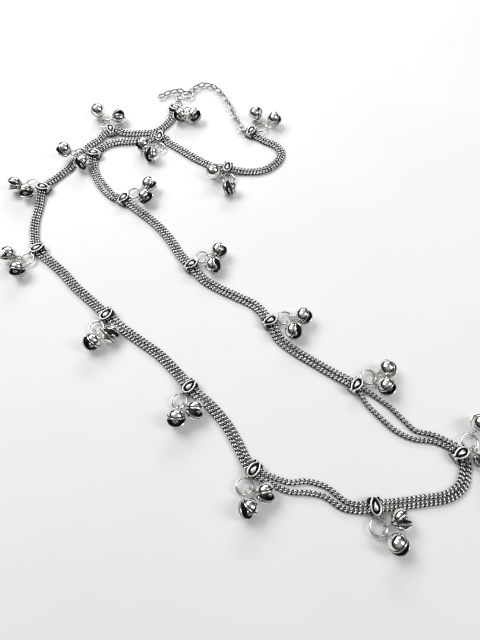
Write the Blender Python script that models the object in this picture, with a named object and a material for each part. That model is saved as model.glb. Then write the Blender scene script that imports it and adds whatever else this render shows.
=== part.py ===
# A silver waist chain with seventeen pairs of small clamshell bells, laid on a flat surface.
# Two curb strands run side by side through cast clamps. Each clamp holds a ring with two bells.
# A cable extension chain joins end A to the hook at end B.
# Metres, +Z up. The surface is at z = 0, and +Y points away from someone who looks at it.

import math

import bmesh
import bpy
from mathutils import Matrix, Vector

MM = 0.001

# Strands of curb chain
STRAND_WIDTH = 2.1 * MM
STRAND_GAP = 0.3 * MM
STRAND_BEVEL_RESOLUTION = 2
STRAND_SPAN = 60 * MM
STRAND_TURN = math.radians(38)
STRAND_STRAIGHT = 0.6 * MM
FLOOR_GAP = 0.03 * MM
FIT_GAP = 0.3 * MM

# Clamps
CLAMP_LENGTH = 4.2 * MM
CLAMP_FLOOR = 0.45 * MM
CLAMP_WALL = 0.5 * MM
CLAMP_ROOF = 0.55 * MM
CLAMP_NOSE = 0.5 * MM
BOSS_HEIGHT = 0.55 * MM
BALL_RADIUS = 0.62 * MM
EYELET_RADIUS = 0.95 * MM
EYELET_WIRE = 0.6 * MM

# Jump rings
RING_DIAMETER = 7.2 * MM
RING_WIRE = 0.9 * MM

# Bells
BELL_DIAMETER = 7.8 * MM
BELL_DOME = 3.4 * MM
BELL_LIP = 0.4 * MM
BELL_WALL = 0.7 * MM
BELL_OPENING_DEG = 18.0
BELL_HINGE_INSET = 2.0 * MM
BELL_LOOP_DIAMETER = 3.8 * MM
BELL_LOOP_WIRE = 0.6 * MM
BELL_SLACK = 0.45 * MM

# End rings, hook and extension chain
END_RING_DIAMETER = 4.6 * MM
END_RING_WIRE = 0.8 * MM
END_RING_TILT_DEG = 50.0
STRAND_TAIL = 3.0 * MM
HOOK_LOOP_DIAMETER = 6.3 * MM
HOOK_WIRE = 0.9 * MM
HOOK_HEADING_DEG = 40.0
HOOK_ARC_DEG = 216.0
LINK_PITCH = 3.8 * MM
LINK_WIDTH = 3.35 * MM
LINK_WIRE = 0.75 * MM
LINK_FUSE = 0.14 * MM
TAIL_LINKS = 5
HARDWARE_HEIGHT = 1.9 * MM
CAUGHT_LINK_DEG = 60.0
TAIL_EXIT_DEG = 153.0

RING_SIDES = 10
WIRE_SIDES = 5
EYELET_SIDES = 6
LOOP_SIDES = 7
BELL_SIDES = 10

# Worked out from the sizes above
STRAND_RADIUS = STRAND_WIDTH / 2
STRAND_OFFSET = (STRAND_WIDTH + STRAND_GAP) / 2
STRAND_REST = STRAND_RADIUS + FLOOR_GAP
CHANNEL_WIDTH = 2 * (STRAND_OFFSET + STRAND_RADIUS + FIT_GAP)
CHANNEL_HEIGHT = STRAND_WIDTH + 2 * FIT_GAP
CLAMP_WIDTH = CHANNEL_WIDTH + 2 * CLAMP_WALL
CLAMP_HEIGHT = CLAMP_FLOOR + CHANNEL_HEIGHT + CLAMP_ROOF
STRAND_IN_CLAMP = CLAMP_FLOOR + CHANNEL_HEIGHT / 2
RING_RADIUS = (RING_DIAMETER - RING_WIRE) / 2
EYELET_REACH = CLAMP_WIDTH / 2 + CLAMP_NOSE + EYELET_RADIUS - EYELET_WIRE
RING_REACH = EYELET_RADIUS - (EYELET_WIRE + RING_WIRE) / 2 + 0.1 * MM + RING_RADIUS
BELL_RADIUS = BELL_DIAMETER / 2
BELL_LOOP_RADIUS = (BELL_LOOP_DIAMETER - BELL_LOOP_WIRE) / 2
BELL_LOOP_REACH = BELL_RADIUS + BELL_LOOP_RADIUS - BELL_LOOP_WIRE / 4
BELL_HOLD = BELL_LOOP_REACH + BELL_LOOP_RADIUS - (BELL_LOOP_WIRE + RING_WIRE) / 2 - BELL_SLACK
END_RING_RADIUS = (END_RING_DIAMETER - END_RING_WIRE) / 2
HOOK_RADIUS = (HOOK_LOOP_DIAMETER - HOOK_WIRE) / 2

# The route of the two strands, from end A to end B, in millimetres.
# Columns: what is there, x, y, and how far apart the strands lie, as a share of their usual
# distance.
CLAMP = "clamp"
BEND = "bend"
STRAND_ROUTE = [
    (CLAMP, 15.8, 85.0, 1.0),
    (BEND, 19.3, 82.7, 1.0),
    (BEND, 24.3, 79.2, 1.0),
    (BEND, 29.1, 76.3, 1.0),
    (BEND, 31.9, 71.5, 1.0),
    (BEND, 30.6, 65.7, 1.0),
    (BEND, 26.4, 60.8, 1.0),
    (BEND, 20.4, 57.7, 1.0),
    (BEND, 12.3, 57.3, 1.0),
    (CLAMP, 3.3, 58.6, 1.0),
    (BEND, -5.3, 61.5, 1.0),
    (BEND, -14.2, 67.0, 1.0),
    (BEND, -23.5, 74.2, 1.0),
    (BEND, -29.5, 78.7, 1.0),
    (CLAMP, -34.0, 81.1, 1.0),
    (BEND, -41.1, 80.2, 1.0),
    (BEND, -49.2, 79.5, 1.0),
    (BEND, -56.8, 78.7, 1.0),
    (BEND, -62.3, 76.7, 1.0),
    (BEND, -65.8, 73.5, 1.0),
    (CLAMP, -68.1, 68.7, 1.0),
    (BEND, -68.1, 61.9, 1.0),
    (BEND, -65.8, 55.0, 1.1),
    (BEND, -60.7, 46.7, 1.25),
    (BEND, -54.7, 40.1, 1.1),
    (CLAMP, -49.3, 37.5, 1.0),
    (BEND, -40.5, 30.6, 1.0),
    (BEND, -31.5, 22.4, 1.0),
    (BEND, -24.4, 13.6, 1.0),
    (BEND, -19.2, 5.1, 1.0),
    (CLAMP, -13.3, -2.7, 1.0),
    (BEND, -6.6, -10.1, 1.0),
    (BEND, 0.9, -14.9, 1.0),
    (BEND, 9.0, -19.1, 1.0),
    (BEND, 16.8, -23.6, 1.0),
    (CLAMP, 22.9, -32.4, 1.0),
    (BEND, 26.4, -39.4, 1.0),
    (BEND, 32.2, -45.0, 1.0),
    (BEND, 39.7, -50.1, 1.0),
    (BEND, 48.2, -55.7, 1.0),
    (CLAMP, 57.8, -62.2, 1.0),
    (BEND, 63.2, -67.6, 2.0),
    (BEND, 68.6, -72.9, 2.6),
    (BEND, 73.9, -78.5, 2.4),
    (BEND, 79.3, -82.3, 1.5),
    (BEND, 86.4, -83.6, 1.15),
    (BEND, 91.8, -86.0, 1.0),
    (CLAMP, 95.2, -90.2, 1.0),
    (BEND, 96.9, -95.2, 1.0),
    (BEND, 94.4, -101.4, 1.0),
    (BEND, 88.1, -105.7, 1.0),
    (BEND, 79.0, -107.2, 1.0),
    (BEND, 69.5, -108.4, 1.0),
    (CLAMP, 59.8, -109.3, 1.0),
    (BEND, 53.7, -109.8, 1.0),
    (BEND, 48.7, -108.7, 1.15),
    (BEND, 45.2, -106.2, 1.3),
    (BEND, 41.5, -103.7, 1.5),
    (BEND, 35.2, -102.3, 1.75),
    (BEND, 28.7, -102.3, 1.4),
    (BEND, 22.3, -100.0, 1.1),
    (CLAMP, 15.2, -96.0, 1.0),
    (BEND, 11.2, -90.8, 1.0),
    (BEND, 8.2, -84.7, 1.0),
    (BEND, 4.0, -77.7, 1.0),
    (BEND, -2.4, -70.2, 1.0),
    (CLAMP, -11.0, -62.7, 1.0),
    (BEND, -17.7, -54.9, 1.0),
    (BEND, -25.4, -47.3, 1.0),
    (BEND, -33.5, -41.4, 1.0),
    (BEND, -41.7, -35.3, 1.0),
    (CLAMP, -49.4, -28.9, 1.0),
    (BEND, -57.3, -21.6, 1.0),
    (BEND, -65.7, -14.0, 1.0),
    (BEND, -73.5, -5.6, 1.0),
    (BEND, -80.7, 0.9, 1.0),
    (CLAMP, -86.8, 6.9, 1.0),
    (BEND, -90.3, 14.4, 1.0),
    (BEND, -91.8, 23.6, 1.0),
    (BEND, -91.6, 33.7, 1.0),
    (CLAMP, -90.9, 44.9, 1.0),
    (BEND, -86.4, 52.4, 1.0),
    (BEND, -80.9, 59.1, 1.0),
    (BEND, -77.2, 66.6, 1.0),
    (BEND, -72.5, 75.4, 1.0),
    (BEND, -66.9, 81.3, 1.0),
    (CLAMP, -61.3, 86.4, 1.0),
    (BEND, -53.7, 85.6, 1.0),
    (BEND, -43.8, 85.7, 1.0),
    (BEND, -38.0, 86.4, 1.0),
    (BEND, -33.6, 89.5, 1.0),
    (BEND, -29.5, 95.5, 1.0),
    (CLAMP, -27.0, 103.6, 1.0),
]

# One row for each clamp, from end A to end B, in degrees seen from above, 0 along +X.
# Columns: side of the bells (1 left, -1 right), lift of the ring in millimetres, heading of the
# ring from the eyelet, then for each bell its heading from the ring, the roll of its shells and
# its lift. A roll of 0 leaves the slot upright, 90 leaves the shells one above the other.
CLUSTERS = [
    (1, 0.0, 16, 108, 20, 0.0, 20, 90, 0.0),
    (1, 0.0, -68, 162, 35, 0.0, -86, 10, 0.0),
    (1, 0.0, -85, -172, 90, 0.0, -111, 10, 0.0),
    (-1, 1.7, -158, 190, 90, 2.2, -76, 35, 0.4),
    (1, 0.0, 17, 22, 70, 0.0, -39, 100, 0.0),
    (1, 0.0, 46, 12, 80, 0.0, -49, 145, 0.0),
    (1, 0.0, 0, -4, 90, 0.0, -65, 145, 0.0),
    (1, 0.0, 14, 20, 90, 0.0, -40, 90, 0.0),
    (1, 0.0, 62, 56, 90, 0.0, -71, 60, 0.0),
    (1, 0.0, -87, 16, 10, 0.0, -46, 95, 0.0),
    (1, 0.0, -111, -20, 35, 0.0, -81, 35, 0.0),
    (1, 0.0, -112, -34, 35, 0.0, -93, 90, 0.0),
    (1, 0.0, -113, -31, 5, 0.0, -92, 40, 0.0),
    (1, 0.0, -107, 176, 145, 0.0, -104, 90, 0.0),
    (1, 0.0, 139, 204, 140, 0.0, -95, 90, 0.0),
    (1, 0.0, 145, 122, 90, 0.0, 18, 10, 0.0),
    (-1, 0.0, -6, -118, 60, 0.0, -57, 120, 0.0),
]

# The extension chain's points between the ring at end A and the hook, in millimetres
EXTENSION_ROUTE = [(9.2, 92.9), (6.7, 98.2), (4.7, 105.5), (1.7, 112.2), (-1.8, 118.5)]
EXTENSION_ROUTE += [(-5.9, 122.9), (-11.0, 124.7), (-15.3, 122.9)]
# The points of its free tail, past the hook
TAIL_ROUTE = [(-25.5, 119.2), (-29.7, 118.2), (-34.0, 115.8), (-38.9, 112.0)]


def silver(name, color, roughness):
    """A metal with its own colour and roughness."""
    material = bpy.data.materials.new(name)
    material.use_nodes = True
    shader = material.node_tree.nodes["Principled BSDF"]
    shader.inputs["Base Color"].default_value = (*color, 1.0)
    shader.inputs["Metallic"].default_value = 1.0
    shader.inputs["Roughness"].default_value = roughness
    return material


def smooth_curve(points, per_span):
    """Points on a smooth curve through the given ones, with as many columns as they have."""
    rows = [Vector(point) for point in points]
    first = rows[0] * 2 - rows[1]
    last = rows[-1] * 2 - rows[-2]
    rows = [first, *rows, last]
    found = []
    for index in range(1, len(rows) - 2):
        before, start, end, after = rows[index - 1 : index + 3]
        for step in range(per_span):
            t = step / per_span
            a = start * 2
            b = (end - before) * t
            c = (before * 2 - start * 5 + end * 4 - after) * t * t
            d = (start * 3 - before - end * 3 + after) * t**3
            found.append((a + b + c + d) / 2)
    found.append(rows[-2])
    return found


def tube(points, radius, sides, closed, turn=0.0):
    """A round wire along the points, as vertices and faces, with flat ends where it is open."""
    count = len(points)
    mesh = bmesh.new()
    rings = []
    normal = None
    for index, point in enumerate(points):
        ahead = points[(index + 1) % count] if closed or index < count - 1 else point
        behind = points[index - 1] if closed or index > 0 else point
        along = (ahead - behind).normalized()
        if normal is None:
            normal = along.orthogonal()
        normal = (normal - along * normal.dot(along)).normalized()
        across = along.cross(normal)
        ring = []
        for side in range(sides):
            angle = turn + 2 * math.pi * side / sides
            offset = normal * math.cos(angle) + across * math.sin(angle)
            ring.append(mesh.verts.new(point + offset * radius))
        rings.append(ring)
    spans = count if closed else count - 1
    for index in range(spans):
        ring = rings[index]
        following = rings[(index + 1) % count]
        for side in range(sides):
            after = (side + 1) % sides
            mesh.faces.new((ring[side], ring[after], following[after], following[side]))
    if not closed:
        mesh.faces.new(rings[0][::-1])
        mesh.faces.new(rings[-1])
    bmesh.ops.recalc_face_normals(mesh, faces=mesh.faces)
    return mesh


def circle(radius, sides):
    """Points of a flat circle about the origin."""
    angles = [2 * math.pi * side / sides for side in range(sides)]
    return [Vector((math.cos(a), math.sin(a), 0)) * radius for a in angles]


def torus(diameter, wire, sides, wire_sides, matrix):
    """A flat round ring of this outer diameter, moved by the matrix."""
    mesh = tube(circle((diameter - wire) / 2, sides), wire / 2, wire_sides, True)
    mesh.transform(matrix)
    return mesh


def prism(outline, low, high):
    """An upright block with this outline, from one height to another."""
    mesh = bmesh.new()
    bottom = [mesh.verts.new((x, y, low)) for x, y in outline]
    top = [mesh.verts.new((x, y, high)) for x, y in outline]
    mesh.faces.new(bottom[::-1])
    mesh.faces.new(top)
    for index in range(len(outline)):
        after = (index + 1) % len(outline)
        mesh.faces.new((bottom[index], bottom[after], top[after], top[index]))
    bmesh.ops.recalc_face_normals(mesh, faces=mesh.faces)
    return mesh


def box(low, high):
    """A block between two corners."""
    return prism([(low[0], low[1]), (high[0], low[1]), (high[0], high[1]), (low[0], high[1])], low[2], high[2])


def object_of(name, mesh):
    """An object with the mesh, linked to the scene."""
    data = bpy.data.meshes.new(name)
    mesh.to_mesh(data)
    mesh.free()
    made = bpy.data.objects.new(name, data)
    bpy.context.scene.collection.objects.link(made)
    return made


def combined(shape, helpers, operation):
    """The object's mesh after a Boolean with each helper. The helpers are used up."""
    for helper in helpers:
        helper.hide_render = True
        helper.display_type = "WIRE"
        cut = shape.modifiers.new(helper.name, "BOOLEAN")
        cut.operation = operation
        cut.solver = "EXACT"
        cut.object = helper
        cut.use_self = operation == "UNION"
    graph = bpy.context.evaluated_depsgraph_get()
    mesh = bpy.data.meshes.new_from_object(shape.evaluated_get(graph))
    for used in [shape, *helpers]:
        bpy.data.objects.remove(used)
    return mesh


def fused(meshes):
    """One closed body from overlapping shapes."""
    joined = bmesh.new()
    for mesh in meshes[:-1]:
        part = bpy.data.meshes.new("part")
        mesh.to_mesh(part)
        mesh.free()
        joined.from_mesh(part)
        bpy.data.meshes.remove(part)
    return combined(object_of("body", joined), [object_of("last", meshes[-1])], "UNION")


def finish(name, mesh, material, matrix=Matrix()):
    """The named sub-part, placed, with its material and smooth round faces."""
    if material.name not in mesh.materials:
        mesh.materials.clear()
        mesh.materials.append(material)
    mesh.shade_smooth()
    mesh.set_sharp_from_angle(angle=math.radians(40))
    made = bpy.data.objects.new(name, mesh)
    made.matrix_world = matrix
    bpy.context.scene.collection.objects.link(made)
    return made


def route_rows():
    """The strands' route in metres: x, y, height, and the distance of each from the middle."""
    rows = []
    for what, x, y, spread in STRAND_ROUTE:
        height = STRAND_IN_CLAMP if what == CLAMP else STRAND_REST
        rows.append((x * MM, y * MM, height, spread * STRAND_OFFSET))
    return rows


def clamp_places():
    """For each clamp its place on the surface and the unit heading of the route through it."""
    rows = route_rows()
    places = []
    for index, row in enumerate(STRAND_ROUTE):
        if row[0] != CLAMP:
            continue
        before = Vector(rows[max(index - 1, 0)][:2])
        after = Vector(rows[min(index + 1, len(rows) - 1)][:2])
        heading = (after - before).normalized()
        places.append((Vector((rows[index][0], rows[index][1], 0)), heading.to_3d()))
    return places


def strand_route(places):
    """The route with a level stretch through each clamp and a tail past each end clamp."""
    rows = []
    clamps = iter(places)
    for (what, *_), row in zip(STRAND_ROUTE, route_rows()):
        if what == BEND:
            rows.append(row)
            continue
        place, heading = next(clamps)
        straight = CLAMP_LENGTH / 2 + STRAND_STRAIGHT
        first = STRAND_TAIL if not rows else straight
        last = STRAND_TAIL if place == places[-1][0] else straight
        for reach in (-first, last):
            point = place + heading * reach
            rows.append((point.x, point.y, *row[2:]))
    return rows


def strand_curve(route):
    """The smooth middle line of the strands, with closer points where it bends."""
    steps = 12
    curve = smooth_curve(route, steps)
    chosen = [curve[0]]
    used = 0.0
    for index in range(1, len(curve) - 1):
        before = (curve[index] - curve[index - 1])[:2]
        after = (curve[index + 1] - curve[index])[:2]
        used += Vector(before).length / STRAND_SPAN + Vector(before).angle(Vector(after)) / STRAND_TURN
        kept = index % steps == 0 and route[index // steps][2] == STRAND_IN_CLAMP
        if used >= 1 or kept:
            chosen.append(curve[index])
            used = 0.0
    chosen.append(curve[-1])
    return chosen


def strand_points(curve, side):
    """Points along one strand, beside the middle line."""
    line = []
    for index, row in enumerate(curve):
        ahead = curve[min(index + 1, len(curve) - 1)]
        behind = curve[max(index - 1, 0)]
        before = Vector((row[0] - behind[0], row[1] - behind[1], 0)).normalized()
        after = Vector((ahead[0] - row[0], ahead[1] - row[1], 0)).normalized()
        along = (before + after).normalized()
        left = Vector((-along.y, along.x, 0))
        line.append(Vector(row[:3]) + left * side * row[3])
    return line


def add_strand(name, route, side, material):
    """One strand as a plain tube, where its links lie."""
    data = bpy.data.curves.new(name, "CURVE")
    data.dimensions = "3D"
    data.bevel_depth = STRAND_RADIUS
    data.bevel_resolution = STRAND_BEVEL_RESOLUTION
    data.use_fill_caps = True
    data.materials.append(material)
    spline = data.splines.new("POLY")
    points = strand_points(route, side)
    spline.points.add(len(points) - 1)
    for place, point in zip(spline.points, points):
        place.co = (*point, 1.0)
    strand = bpy.data.objects.new(name, data)
    bpy.context.scene.collection.objects.link(strand)
    return strand


def clamp_outline():
    """The clamp seen from above: pointed at the balls, round at the bells."""
    half = CLAMP_LENGTH / 2
    edge = CLAMP_WIDTH / 2
    narrow = half * 0.7
    flat = CHANNEL_WIDTH / 2 + CLAMP_WALL * 0.3
    right = [(narrow, -edge), (half, -flat), (half, flat), (narrow, edge)]
    right.append((half * 0.3, edge + CLAMP_NOSE))
    return right + [(-x, y) for x, y in reversed(right)]


def clamp_shapes(lift):
    """The clamp's overlapping shapes, with the route along +X and the bells at +Y."""
    body = object_of("sleeve", prism(clamp_outline(), 0, CLAMP_HEIGHT))
    far = CLAMP_LENGTH
    low = (-far, -CHANNEL_WIDTH / 2, CLAMP_FLOOR)
    high = (far, CHANNEL_WIDTH / 2, CLAMP_FLOOR + CHANNEL_HEIGHT)
    sleeve = bmesh.new()
    cut = combined(body, [object_of("channel", box(low, high))], "DIFFERENCE")
    sleeve.from_mesh(cut)
    shapes = [sleeve]
    drop = [(0, -2.0), (0.9, 0.2), (0.6, 1.5), (-0.6, 1.5), (-0.9, 0.2)]
    boss = prism([(x * MM, y * MM) for x, y in drop], CLAMP_HEIGHT - 0.1 * MM, CLAMP_HEIGHT + BOSS_HEIGHT)
    for vertex in boss.verts:
        if vertex.co.z > CLAMP_HEIGHT:
            vertex.co.x *= 0.55
            vertex.co.y *= 0.7
    shapes.append(boss)
    for side in (-1, 1):
        ball = bmesh.new()
        bmesh.ops.create_icosphere(ball, subdivisions=1, radius=BALL_RADIUS)
        place = (side * BALL_RADIUS * 1.05, -CLAMP_WIDTH / 2, CLAMP_HEIGHT - BALL_RADIUS * 0.6)
        bmesh.ops.translate(ball, verts=ball.verts, vec=place)
        shapes.append(ball)
    upright = Matrix.Translation((0, EYELET_REACH, STRAND_IN_CLAMP + lift)) @ Matrix.Rotation(math.pi / 2, 4, "Y")
    diameter = 2 * EYELET_RADIUS + EYELET_WIRE
    shapes.append(torus(diameter, EYELET_WIRE, EYELET_SIDES, WIRE_SIDES, upright))
    return shapes


def ring_place(place, heading, side, lift, ring_heading):
    """The centre of a clamp's jump ring."""
    left = Vector((-heading.y, heading.x, 0)) * side
    angle = math.radians(ring_heading)
    away = Vector((math.cos(angle), math.sin(angle), 0))
    centre = place + left * EYELET_REACH + away * RING_REACH
    centre.z = STRAND_IN_CLAMP + lift * MM
    return centre


def add_clamp(name, place, heading, cluster, material):
    """A clamp on its flat underside, with the jump ring in its eyelet."""
    side, lift, ring_heading = cluster[:3]
    turn = heading if side > 0 else -heading
    angle = math.atan2(turn.y, turn.x)
    matrix = Matrix.Translation(place) @ Matrix.Rotation(angle, 4, "Z")
    centre = matrix.inverted() @ ring_place(place, heading, side, lift, ring_heading)
    ring = torus(RING_DIAMETER, RING_WIRE, RING_SIDES, WIRE_SIDES, Matrix.Translation(centre))
    return finish(name, fused([*clamp_shapes(lift * MM), ring]), material, matrix)


def bell_cup(side):
    """One of the two domed shells, hinged open about the neck at +X, its dome along +Y or -Y."""
    shoulder = (BELL_RADIUS * 0.72, BELL_DOME * 0.7)
    profile = [(0, BELL_DOME), shoulder, (BELL_RADIUS, 0), (0, BELL_DOME - BELL_WALL)]
    mesh = bmesh.new()
    rows = []
    for radius, height in profile:
        if radius == 0:
            rows.append([mesh.verts.new((0, height, 0))])
            continue
        points = circle(radius, BELL_SIDES)
        rows.append([mesh.verts.new((point.x, height, point.y)) for point in points])
    for inner, outer in zip(rows, rows[1:]):
        for index in range(BELL_SIDES):
            after = (index + 1) % BELL_SIDES
            if len(inner) == 1:
                mesh.faces.new((inner[0], outer[index], outer[after]))
            elif len(outer) == 1:
                mesh.faces.new((inner[after], inner[index], outer[0]))
            else:
                mesh.faces.new((inner[index], outer[index], outer[after], inner[after]))
    hinge = Matrix.Translation((BELL_RADIUS - BELL_HINGE_INSET, 0, 0))
    opening = Matrix.Rotation(-math.radians(BELL_OPENING_DEG), 4, "Z")
    mesh.transform(hinge @ opening @ hinge.inverted())
    if side < 0:
        mesh.transform(Matrix.Scale(-1, 4, (0, 1, 0)))
    bmesh.ops.recalc_face_normals(mesh, faces=mesh.faces)
    return mesh


def bell_mesh(roll):
    """A bell about its middle: loop along +X, shells along Y, and the loop upright after the roll."""
    place = Matrix.Translation((BELL_LOOP_REACH, 0, 0))
    upright = Matrix.Rotation(roll - math.pi / 2, 4, "X")
    loop = torus(BELL_LOOP_DIAMETER, BELL_LOOP_WIRE, LOOP_SIDES, WIRE_SIDES, place @ upright)
    return fused([bell_cup(1), bell_cup(-1), loop])


def bell_matrix(ring_centre, heading, roll, lift):
    """Where a bell lies: its loop on the ring and its lowest point on the surface."""
    away = Vector((math.cos(heading), math.sin(heading), 0))
    dip = 0.3
    spread = BELL_RADIUS * math.sin(math.radians(BELL_OPENING_DEG))
    for _ in range(6):
        neck = away * -math.cos(dip) - Vector((0, 0, math.sin(dip)))
        flat = Vector((-away.y, away.x, 0))
        raised = flat.cross(neck)
        shells = flat * math.cos(roll) + raised * math.sin(roll)
        edge = BELL_RADIUS * math.sqrt(max(1 - shells.z**2, 0))
        height = max(edge, BELL_DOME + BELL_LIP) + spread * abs(shells.z) + FLOOR_GAP + lift
        dip = math.asin((height - ring_centre.z) / BELL_HOLD)
    hold = ring_centre + away * RING_RADIUS
    centre = hold - neck * BELL_HOLD
    third = neck.cross(shells)
    turn = Matrix((neck, shells, third)).transposed().to_4x4()
    return Matrix.Translation(centre) @ turn


def add_bell(name, ring_centre, heading_deg, roll_deg, lift, material):
    """One clamshell bell on its ring."""
    roll = math.radians(roll_deg)
    matrix = bell_matrix(ring_centre, math.radians(heading_deg), roll, lift * MM)
    return finish(name, bell_mesh(roll), material, matrix)


def hook_points(centre_a, centre_b):
    """The hook's centre line: an S of two open loops, by its loops' centres."""
    start = math.radians(HOOK_HEADING_DEG)
    steps = 9
    turns = [math.radians(HOOK_ARC_DEG) * step / steps for step in range(1, steps + 1)]
    near = [start + turn for turn in reversed(turns)]
    far = [start + math.pi + turn for turn in turns]
    points = [centre_a + Vector((math.cos(a), math.sin(a), 0)) * HOOK_RADIUS for a in near]
    points.append((centre_a + centre_b) / 2)
    points += [centre_b + Vector((math.cos(a), math.sin(a), 0)) * HOOK_RADIUS for a in far]
    return points


def link_mesh(pitch):
    """One oval link in its own plane, long along X."""
    inner = pitch - LINK_FUSE
    length = (inner + LINK_WIRE) / 2
    width = (LINK_WIDTH - LINK_WIRE) / 2
    points = []
    for x, y in ((1.0, 0.0), (0.82, 0.78), (0.3, 1.0), (-0.3, 1.0), (-0.82, 0.78)):
        points.append(Vector((x * length, y * width, 0)))
    points += [-point for point in points]
    return tube(points, LINK_WIRE / 2, WIRE_SIDES, True)


def spaced(curve, pitch, count):
    """Points on the curve at equal straight steps from its start."""
    found = [curve[0]]
    for before, point in zip(curve, curve[1:]):
        if len(found) < count and (point - found[-1]).length >= pitch:
            span = (before - found[-1]).length
            step = (point - found[-1]).length
            share = (pitch - span) / max(step - span, 1e-9)
            found.append(before.lerp(point, share))
    return found


def add_extension(name, start, catch, catch_heading, exit_point, material):
    """The cable chain from the ring at end A to the hook, and its free tail, as one body."""
    low = Vector((0, 0, HARDWARE_HEIGHT))
    route = [Vector((x * MM, y * MM, 0)) + low for x, y in EXTENSION_ROUTE]
    reach = catch_heading * LINK_PITCH
    curve = smooth_curve([catch, catch + reach, *route[::-1], start], 30)
    length = sum((b - a).length for a, b in zip(curve, curve[1:]))
    # an even number of steps: the links on the ring and on the hook both stand upright
    count = 2 * round(length / (2 * LINK_PITCH))
    pitch = length / count
    for _ in range(12):
        places = spaced(curve, pitch, count)
        pitch += ((start - places[-1]).length - pitch) / count
    places.append(start)
    tail = [Vector((x * MM, y * MM, 0)) + low for x, y in TAIL_ROUTE]
    inner = catch - catch_heading * pitch * 0.55
    tail_curve = smooth_curve([catch, inner, exit_point, *tail], 30)
    tail_places = spaced(tail_curve, pitch, TAIL_LINKS + 1)[1:]
    chain = [*tail_places[::-1], *places]
    meshes = []
    for index, place in enumerate(chain):
        before = chain[max(index - 1, 0)]
        after = chain[min(index + 1, len(chain) - 1)]
        along = (after - before).normalized()
        angle = math.atan2(along.y, along.x)
        upright = (index - len(tail_places)) % 2 == 0
        roll = math.pi / 2 if upright else 0
        mesh = link_mesh(pitch)
        turn = Matrix.Rotation(angle, 4, "Z") @ Matrix.Rotation(roll, 4, "X")
        mesh.transform(Matrix.Translation(place) @ turn)
        meshes.append(mesh)
    return finish(name, fused(meshes), material)


def add_closure(places, material):
    """The rings at both ends, the hook and the extension chain."""
    level = Vector((0, 0, HARDWARE_HEIGHT))
    reach = STRAND_TAIL + FIT_GAP + END_RING_DIAMETER / 2
    place_a, heading_a = places[0]
    place_b, heading_b = places[-1]
    ring_a = place_a - heading_a * reach + level
    ring_b = place_b + heading_b * reach + level
    flat = torus(END_RING_DIAMETER, END_RING_WIRE, RING_SIDES, WIRE_SIDES, Matrix())
    finish("end_ring_a", mesh_of(flat), material, Matrix.Translation(ring_a))
    tilt = Matrix.Rotation(math.atan2(heading_b.y, heading_b.x), 4, "Z")
    tilt = tilt @ Matrix.Rotation(math.radians(END_RING_TILT_DEG), 4, "X")
    tilted = torus(END_RING_DIAMETER, END_RING_WIRE, RING_SIDES, WIRE_SIDES, Matrix())
    finish("end_ring_b", mesh_of(tilted), material, Matrix.Translation(ring_b) @ tilt)
    held = END_RING_RADIUS + HOOK_RADIUS - (END_RING_WIRE + HOOK_WIRE) / 2 - FIT_GAP
    centre_a = ring_b + heading_b * held
    angle = math.radians(HOOK_HEADING_DEG)
    centre_b = centre_a + Vector((math.cos(angle), math.sin(angle), 0)) * 2 * HOOK_RADIUS
    hook = tube(hook_points(centre_a, centre_b), HOOK_WIRE / 2, WIRE_SIDES, False)
    finish("hook", mesh_of(hook), material)
    catch_angle = math.radians(CAUGHT_LINK_DEG)
    catch_heading = Vector((math.cos(catch_angle), math.sin(catch_angle), 0))
    catch = centre_b + catch_heading * HOOK_RADIUS
    exit_angle = math.radians(TAIL_EXIT_DEG)
    exit_reach = HOOK_RADIUS + LINK_PITCH / 3
    exit_point = centre_b + Vector((math.cos(exit_angle), math.sin(exit_angle), 0)) * exit_reach
    first_route = Vector((EXTENSION_ROUTE[0][0] * MM, EXTENSION_ROUTE[0][1] * MM, 0)) + level
    toward = (first_route - ring_a).normalized()
    slack = (LINK_PITCH - LINK_FUSE - END_RING_WIRE) / 2 - FIT_GAP
    start = ring_a + toward * (END_RING_RADIUS + slack)
    add_extension("extension_chain", start, catch, catch_heading, exit_point, material)


def mesh_of(shape):
    """A mesh from a shape that is one body already."""
    mesh = bpy.data.meshes.new("shape")
    shape.to_mesh(mesh)
    shape.free()
    return mesh


def build():
    for old in list(bpy.data.objects):
        bpy.data.objects.remove(old)
    aged = silver("aged_silver", (0.36, 0.36, 0.37), 0.35)
    bright = silver("bright_silver", (0.78, 0.78, 0.76), 0.18)
    places = clamp_places()
    route = strand_curve(strand_route(places))
    add_strand("strand_left", route, 1, aged)
    add_strand("strand_right", route, -1, aged)
    for number, ((place, heading), cluster) in enumerate(zip(places, CLUSTERS), 1):
        add_clamp(f"clamp_{number:02d}", place, heading, cluster, aged)
        centre = ring_place(place, heading, *cluster[:3])
        for letter, bell in zip("ab", (cluster[3:6], cluster[6:])):
            add_bell(f"bell_{number:02d}{letter}", centre, *bell, bright)
    add_closure(places, bright)


build()
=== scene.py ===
# Silver waist chain: two curb strands, cast clamps, pairs of small bells, a hook and cable chain.
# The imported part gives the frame; this script dresses it with real links, castings and bells.

import math

import bmesh
import bpy
from mathutils import Matrix, Vector


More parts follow.
